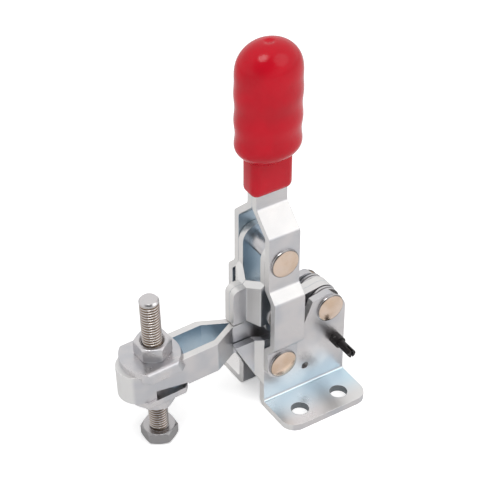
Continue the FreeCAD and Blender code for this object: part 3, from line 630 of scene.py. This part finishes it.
def grip_rings(sizes):
    """The grip's rings from the collar to the crown, as heights and half widths along X and Y."""
    long, deep, top = sizes.half_long, sizes.half_deep, GRIP_HIGH.z
    start = sizes.collar_high
    insets = [(start - drop, deep * share) for drop, share in UNDERSIDE]
    for quarter in range(1, GROOVE_QUARTERS + 1):
        wave = (1 - math.cos(math.pi * (quarter - 1) / 2)) / 2
        fade = 1 - GROOVE_FADE * quarter / GROOVE_QUARTERS
        insets.append((start + sizes.pitch * quarter / 4, sizes.groove * wave * fade))
    rings = [(height, long - inset, deep - inset) for height, inset in insets]
    shoulder = start + sizes.pitch * GROOVE_QUARTERS / 4
    for turn in CROWN_TURNS:
        angle = math.radians(turn)
        narrow = math.cos(angle) ** CROWN_POWER
        rings.append((shoulder + (top - shoulder) * math.sin(angle), long * narrow, deep * narrow))
    rings.append((top - DIMPLE_DEPTH, long * DIMPLE_LONG, deep * DIMPLE_DEEP))
    return rings


def model_grip_body(sizes):
    """The oval body, drawn up ring by ring from its underside and smoothed."""
    body = raise_rings("grip_body", sizes.rings, grip_rings(sizes))
    close_piece(body, 80.0)
    apply_modifier(body, "SUBSURF", levels=2, render_levels=2)
    place_piece(body, Matrix.Translation((sizes.centre, 0, 0)))
    return body


def model_grip_collar(sizes):
    """The flat collar that the lever's tang goes up into."""
    low, high = GRIP_LOW.z, sizes.collar_high
    deselect()
    bpy.ops.mesh.primitive_cube_add(size=1, location=(sizes.centre, 0, (low + high) / 2))
    bpy.context.object.scale = (2 * sizes.collar_half_long, 2 * sizes.collar_half_deep, high - low)
    collar = start_piece("grip_collar")
    pick_edges(collar, lambda a, b: abs(a.z - b.z) > MM)
    bpy.ops.mesh.bevel(offset=sizes.collar_corner, segments=6)
    bpy.ops.mesh.select_all(action="DESELECT")
    bpy.ops.object.mode_set(mode="OBJECT")
    for face in collar.data.polygons:
        face.select = face.normal.z < -0.9
    bpy.ops.object.mode_set(mode="EDIT")
    bpy.ops.mesh.select_mode(type="FACE")
    bpy.ops.mesh.bevel(offset=sizes.collar_edge, segments=3)
    return close_piece(collar, 50.0)


def head_rings(sizes, radius, crown):
    """A domed head's rings from its crown to the plate, as heights and radii."""
    dome = [(sizes.rise * reach ** 2, radius * reach) for reach in DOME_REACHES]
    side = [(sizes.rise + sizes.edge * RIM_DROP, radius - sizes.edge * RIM_INSET),
            (sizes.rise + sizes.edge, radius), (sizes.head_high, radius),
            (sizes.head_high, sizes.shank)]
    return [(crown + height, reach) for height, reach in dome + side]


def model_rivet(node, name):
    """A rivet in the place of a plain one, with a head wherever the plain one has a head."""
    sizes = settings("rivets")
    low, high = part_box(node)
    radius = (high.x - low.x) / 2
    far_only = node == "foot_rivet_far"
    start = -high.y if far_only else low.y
    rings = head_rings(sizes, radius, start)
    if node.startswith("foot_rivet"):
        rings.append((-low.y if far_only else high.y, sizes.shank))
    else:
        rings += [(-height, reach) for height, reach in reversed(head_rings(sizes, radius, -high.y))]
    rivet = raise_turned(name, sizes.rings, rings)
    close_piece(rivet, 40.0)
    across = Matrix.Rotation(math.radians(90 if far_only else -90), 4, "X")
    middle = (low + high) / 2
    place_piece(rivet, Matrix.Translation((middle.x, 0, middle.z)) @ across)
    return rivet


def spindle_line():
    """The middle of the spindle's foot, and its axis upwards."""
    return Vector(MOUNTS["spindle_face"]["pos_m"]), Vector(JOINTS["spindle_slide"]["axis"]).normalized()


def spindle_turn():
    """Takes a piece that is modelled upright at the origin to the spindle's foot and slope."""
    foot, axis = spindle_line()
    return Matrix.Translation(foot) @ Vector((0, 0, 1)).rotation_difference(axis).to_matrix().to_4x4()


def cut_with(piece, tool, operation):
    """Applies a boolean with a tool that is used up."""
    deselect()
    piece.select_set(True)
    apply_modifier(piece, "BOOLEAN", operation=operation, object=tool, solver="EXACT")
    bpy.data.objects.remove(tool)


def model_hexagon(name, flats, high):
    """A hexagon that stands on the ground, with its corners turned off at both ends."""
    deselect()
    bpy.ops.mesh.primitive_cylinder_add(vertices=6, radius=flats / math.sqrt(3), depth=high,
                                        location=(0, 0, high / 2))
    hexagon = start_piece(name)
    bpy.ops.object.mode_set(mode="OBJECT")
    wide, face, fall = flats * CORNER_OUT, flats * CORNER_IN, flats * CORNER_FALL
    turned = raise_turned("turning", TURNED_SIDES, (
        (0, face), (fall, wide), (high - fall, wide), (high, face)))
    cut_with(hexagon, turned, "INTERSECT")
    bpy.ops.object.mode_set(mode="EDIT")
    return close_piece(hexagon, 20.0)


def model_nut(node, name):
    """A nut with turned corners and a countersunk hole, in the place of a plain one."""
    sizes = settings("spindle")
    foot, axis = spindle_line()
    low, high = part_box(node)
    slope = (1 - axis.z ** 2) ** 0.5 * sizes.nut_flats / 2
    start, tall = low.z + slope - foot.z, high.z - low.z - 2 * slope
    nut = model_hexagon(name, sizes.nut_flats, tall)
    bore, sink = sizes.crest + THREAD_CLEARANCE, sizes.countersink
    fall = (sink - bore) * COUNTERSINK_SLOPE
    drill = raise_turned("drill", TURNED_SIDES, (
        (-MM, sink), (0, sink), (fall, bore), (tall - fall, bore), (tall, sink), (tall + MM, sink)))
    cut_with(nut, drill, "DIFFERENCE")
    bpy.ops.object.mode_set(mode="EDIT")
    close_piece(nut, 20.0)
    place_piece(nut, spindle_turn() @ Matrix.Translation((0, 0, start)))
    return nut


def box_tool(low, high):
    """A plain block between two corners, for booleans."""
    deselect()
    middle = [(a + b) / 2 for a, b in zip(low, high)]
    bpy.ops.mesh.primitive_cube_add(size=1, location=middle)
    block = bpy.context.object
    block.scale = [b - a for a, b in zip(low, high)]
    bpy.ops.object.transform_apply(location=True, rotation=True, scale=True)
    return block


def model_saddle_washer(name):
    """The washer that sits over the bar: round ends, turned down sides and a block in the slot."""
    sizes = settings("saddle")
    wide = 2 * sizes.front_radius
    washer = raise_turned(name, WASHER_SIDES, (
        (sizes.low, sizes.front_radius), (sizes.top, sizes.front_radius)))
    rear = raise_turned("rear_end", WASHER_SIDES, (
        (sizes.low - MM, sizes.rear_radius), (sizes.top + MM, sizes.rear_radius)))
    bpy.ops.transform.translate(value=(-sizes.rear_shift, 0, 0))
    bpy.ops.object.mode_set(mode="OBJECT")
    cut_with(washer, rear, "INTERSECT")
    sides = box_tool((-wide, -sizes.half_deep, 0), (wide, sizes.half_deep, sizes.top))
    bpy.ops.object.mode_set(mode="EDIT")
    pick_edges(sides, lambda a, b: min(a.z, b.z) > sizes.bar_top and a.y * b.y > 0 > a.x * b.x)
    bpy.ops.mesh.bevel(offset=sizes.rounding, segments=6)
    bpy.ops.object.mode_set(mode="OBJECT")
    cut_with(washer, sides, "INTERSECT")
    gap = box_tool((-wide, -sizes.inner, 0), (wide, sizes.inner, sizes.bar_top))
    cut_with(washer, gap, "DIFFERENCE")
    block = box_tool((-sizes.block, -sizes.block, sizes.block_low),
                     (sizes.block, sizes.block, sizes.bar_top + MM))
    cut_with(washer, block, "UNION")
    bore = settings("spindle").crest + THREAD_CLEARANCE
    drill = raise_turned("drill", TURNED_SIDES, ((0, bore), (2 * sizes.top, bore)))
    cut_with(washer, drill, "DIFFERENCE")
    bpy.ops.object.mode_set(mode="EDIT")
    close_piece(washer, 25.0)
    place_piece(washer, spindle_turn())
    return washer


def model_spindle_core(sizes):
    """The shank at the bottom of the thread, with a chamfered tip as wide as the thread."""
    root, crest, top = sizes.root, sizes.crest, sizes.reach
    depth = crest - root
    core = raise_turned("spindle_core", TURNED_SIDES, (
        (sizes.head_high / 2, root), (top - sizes.tip - depth, root), (top - sizes.tip, crest),
        (top - depth * CHAMFER_LONG, crest), (top, root)))
    return close_piece(core)


def model_thread(sizes):
    """The thread: a tapered ridge wound round the shank from the head to the tip."""
    half, flat = sizes.pitch * RIDGE_FOOT, sizes.pitch * RIDGE_TOP
    stop = sizes.reach - sizes.tip
    turns = int((stop - sizes.head_high) / sizes.pitch) + 1
    start = stop - turns * sizes.pitch
    depth = sizes.crest - sizes.root
    deselect()
    bpy.ops.mesh.primitive_plane_add(size=1, location=(0, 0, 0), rotation=(math.pi / 2, 0, 0))
    bpy.context.object.scale = (RIDGE_DEPTH * depth, half * 2, 1)
    thread = start_piece("spindle_thread")
    middle = sizes.crest - RIDGE_DEPTH / 2 * depth
    bpy.ops.transform.translate(value=(middle, 0, start))
    pick_edges(thread, lambda a, b: min(a.x, b.x) > middle)
    bpy.ops.transform.resize(value=(1, 1, flat / half), center_override=(sizes.crest, 0, start))
    bpy.ops.mesh.select_all(action="SELECT")
    bpy.ops.mesh.delete(type="ONLY_FACE")
    bpy.ops.object.mode_set(mode="OBJECT")
    apply_modifier(thread, "SCREW", axis="Z", angle=2 * math.pi, screw_offset=sizes.pitch,
                   iterations=turns, steps=sizes.steps, render_steps=sizes.steps,
                   use_merge_vertices=False, use_smooth_shade=False)
    bpy.ops.object.mode_set(mode="EDIT")
    bpy.ops.mesh.select_all(action="SELECT")
    bpy.ops.mesh.fill_holes(sides=0)
    return close_piece(thread, 25.0)


class CLAMP_OT_model_grip(bpy.types.Operator):
    """Model the moulded grip and put it in place of the plain one"""
    bl_idname = "clamp.model_grip"
    bl_label = "Model Grip"

    def execute(self, context):
        sizes = settings("grip")
        grip = join_pieces([model_grip_body(sizes), model_grip_collar(sizes)], "moulded_grip")
        set_material(grip, red_plastic("Glossy red plastic"))
        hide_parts("grip")
        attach(grip, "lever")
        return {"FINISHED"}


class CLAMP_OT_model_spindle(bpy.types.Operator):
    """Model the threaded spindle with its hexagon head"""
    bl_idname = "clamp.model_spindle"
    bl_label = "Model Spindle"

    def execute(self, context):
        sizes = settings("spindle")
        head = model_hexagon("spindle_head", sizes.head_flats, sizes.head_high)
        spindle = join_pieces([head, model_spindle_core(sizes), model_thread(sizes)], "threaded_spindle")
        place_piece(spindle, spindle_turn())
        set_material(spindle, thread_steel("Plated thread"))
        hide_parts("spindle")
        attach(spindle, "spindle")
        return {"FINISHED"}


class CLAMP_OT_model_nuts(bpy.types.Operator):
    """Model the two nuts that hold the spindle in the bar, and the saddle washer under one"""
    bl_idname = "clamp.model_nuts"
    bl_label = "Model Nuts"

    def execute(self, context):
        material = zinc_turned("Zinc nuts")
        washer = model_saddle_washer("bent_saddle_washer")
        set_material(washer, material)
        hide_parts("saddle_washer")
        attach(washer, "spindle_set")
        for node, name in (("upper_nut", "turned_upper_nut"), ("lower_nut", "turned_lower_nut")):
            nut = model_nut(node, name)
            set_material(nut, material)
            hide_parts(node)
            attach(nut, "spindle_set")
        return {"FINISHED"}


class CLAMP_OT_model_rivets(bpy.types.Operator):
    """Model the rivets with their low domed heads"""
    bl_idname = "clamp.model_rivets"
    bl_label = "Model Rivets"

    def execute(self, context):
        for node, (name, body) in RIVETS.items():
            low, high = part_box(node)
            rivet = model_rivet(node, name)
            set_material(rivet, rivet_steel(f"Rivet {name}", (low + high) / 2))
            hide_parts(node)
            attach(rivet, body)
        return {"FINISHED"}


class CLAMP_OT_finish_metal(bpy.types.Operator):
    """Give every metal part its plating, cut edges and stains, and painted sheen, reflections and shade"""
    bl_idname = "clamp.finish_metal"
    bl_label = "Finish Metal"

    def execute(self, context):
        sheet = zinc_sheet("Zinc sheet", (1,), 0.75)
        base = zinc_sheet("Zinc base", (1, 2), 0.12)
        turned = zinc_turned("Zinc small parts")
        for nodes, material in ((SHEET_NODES, sheet), (BASE_NODES, base), (TURNED_NODES, turned),
                                (("stop_pin",), black_oxide("Black oxide"))):
            for node in nodes:
                dress(node, material)
        for node in WASHER_NODES:
            low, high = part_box(node)
            dress(node, zinc_turned(f"Zinc {node}", (low.y, high.y)))
        return {"FINISHED"}


def camera_side(stage):
    """The way from the clamp to the camera, in front and above, where the dark card hangs too."""
    flat = math.cos(stage.elevation)
    return Vector((flat * math.sin(stage.azimuth), -flat * math.cos(stage.azimuth),
                   math.sin(stage.elevation)))


def add_lamp(name, stands, faces, size, power):
    """A round lamp that stands at one point and faces another."""
    deselect()
    bpy.ops.object.light_add(type="AREA", location=stands)
    lamp = bpy.context.object
    lamp.name = name
    lamp.data.shape = "DISK"
    lamp.data.size = size
    lamp.data.energy = power
    lamp.rotation_euler = (Vector(stands) - Vector(faces)).to_track_quat("Z", "Y").to_euler()


class CLAMP_OT_set_stage(bpy.types.Operator):
    """Set up the floor, the lamps, the world and the camera"""
    bl_idname = "clamp.set_stage"
    bl_label = "Set Stage"

    def execute(self, context):
        stage = settings("stage")
        self.lay_floor(stage)
        add_lamp("Key lamp", stage.key_place, stage.lit, stage.key_size, stage.key_power)
        add_lamp("Front lamp", stage.front_place, stage.lit, stage.front_size, stage.front_power)
        self.light_world(stage)
        self.aim_camera(stage)
        return {"FINISHED"}

    @staticmethod
    def lay_floor(stage):
        """Pale paper that the camera alone sees lifted to white."""
        deselect()
        bpy.ops.mesh.primitive_plane_add(size=FLOOR_SPAN, location=(0, 0, 0))
        floor = bpy.context.object
        floor.name = "studio_floor"
        paper = Finish("Studio floor", Roughness=0.85, Emission_Strength=1.0)
        fibres = paper.noise(paper.place(), 30.0, 2.0)
        pale = settings("colours").floor
        white = [channel * 1.02 for channel in pale]
        seen = paper.signal(paper.add("ShaderNodeLightPath").outputs["Is Camera Ray"])
        lift = [stage.floor_lift] * 3
        set_material(floor, paper.finish(Base_Color=paper.blend(fibres, pale, white),
                                         Emission_Color=paper.blend(seen, (0.0, 0.0, 0.0), lift)))

    @staticmethod
    def light_world(stage):
        """Even light from all round, white behind, with a dark card for the metal to mirror."""
        world = bpy.data.worlds.new("Studio")
        bpy.context.scene.world = world
        world.use_nodes = True
        sky = Nodes(world.node_tree)
        rays = sky.add("ShaderNodeLightPath").outputs
        ways = sky.add("ShaderNodeTexCoord").outputs["Generated"]
        toward = sky.add("ShaderNodeVectorMath", {"operation": "DOT_PRODUCT"},
                         {0: ways, 1: camera_side(stage)}).outputs["Value"]
        card = sky.add("ShaderNodeMapRange", {"interpolation_type": "SMOOTHSTEP"},
                       {"Value": toward, "From Min": stage.card_rim, "From Max": stage.card_core,
                        "To Min": 1.0, "To Max": stage.card_level}).outputs["Result"]
        strength = stage.world_level
        for ray, shown in (("Is Glossy Ray", card), ("Is Transmission Ray", 1.0),
                           ("Is Camera Ray", 1.0)):
            choice = sky.add("ShaderNodeMix", None, {0: rays[ray], 2: strength, 3: shown})
            strength = choice.outputs[0]
        background = world.node_tree.nodes["Background"]
        sky.put(background.inputs["Color"], (1.0, 1.0, 1.0))
        sky.put(background.inputs["Strength"], strength)

    @staticmethod
    def aim_camera(stage):
        """Stands the camera to one side of the target and turns it there."""
        back = camera_side(stage)
        deselect()
        bpy.ops.object.camera_add(location=Vector(stage.target) + back * stage.distance)
        camera = bpy.context.object
        camera.rotation_euler = back.to_track_quat("Z", "Y").to_euler()
        camera.data.sensor_width = 36.0
        camera.data.lens = stage.lens
        camera.data.clip_start = 0.01
        bpy.context.scene.camera = camera
        bpy.context.scene.view_settings.view_transform = "Standard"


class CLAMP_PT_finishes(bpy.types.Panel):
    """Lists the steps and their sizes in the sidebar"""
    bl_label = "Toggle Clamp"
    bl_idname = "CLAMP_PT_finishes"
    bl_space_type = "VIEW_3D"
    bl_region_type = "UI"
    bl_category = "Clamp"

    def draw(self, context):
        for step in STEPS:
            self.layout.operator(step.bl_idname)
        for kind, group in SETTINGS.items():
            box = self.layout.box()
            box.label(text=kind.title())
            for name in group.__annotations__:
                box.prop(settings(kind), name)


SETTINGS = {"grip": ClampGripSettings, "spindle": ClampSpindleSettings,
            "saddle": ClampSaddleSettings, "rivets": ClampRivetSettings,
            "colours": ClampColourSettings, "stage": ClampStageSettings}
STEPS = (CLAMP_OT_model_grip, CLAMP_OT_model_spindle, CLAMP_OT_model_nuts,
         CLAMP_OT_model_rivets, CLAMP_OT_finish_metal, CLAMP_OT_set_stage)
CLASSES = (*SETTINGS.values(), *STEPS, CLAMP_PT_finishes)


def register():
    """Registers the classes and gives the scene one group of settings of each kind."""
    for cls in CLASSES:
        bpy.utils.register_class(cls)
    for kind, group in SETTINGS.items():
        setattr(bpy.types.Scene, f"clamp_{kind}", PointerProperty(type=group))


def unregister():
    """Takes back all that register added."""
    for kind in SETTINGS:
        delattr(bpy.types.Scene, f"clamp_{kind}")
    for cls in reversed(CLASSES):
        bpy.utils.unregister_class(cls)


def main():
    """Runs every step in order."""
    register()
    bpy.ops.clamp.model_grip()
    bpy.ops.clamp.model_spindle()
    bpy.ops.clamp.model_nuts()
    bpy.ops.clamp.model_rivets()
    bpy.ops.clamp.finish_metal()
    bpy.ops.clamp.set_stage()


if __name__ == "__main__":
    main()
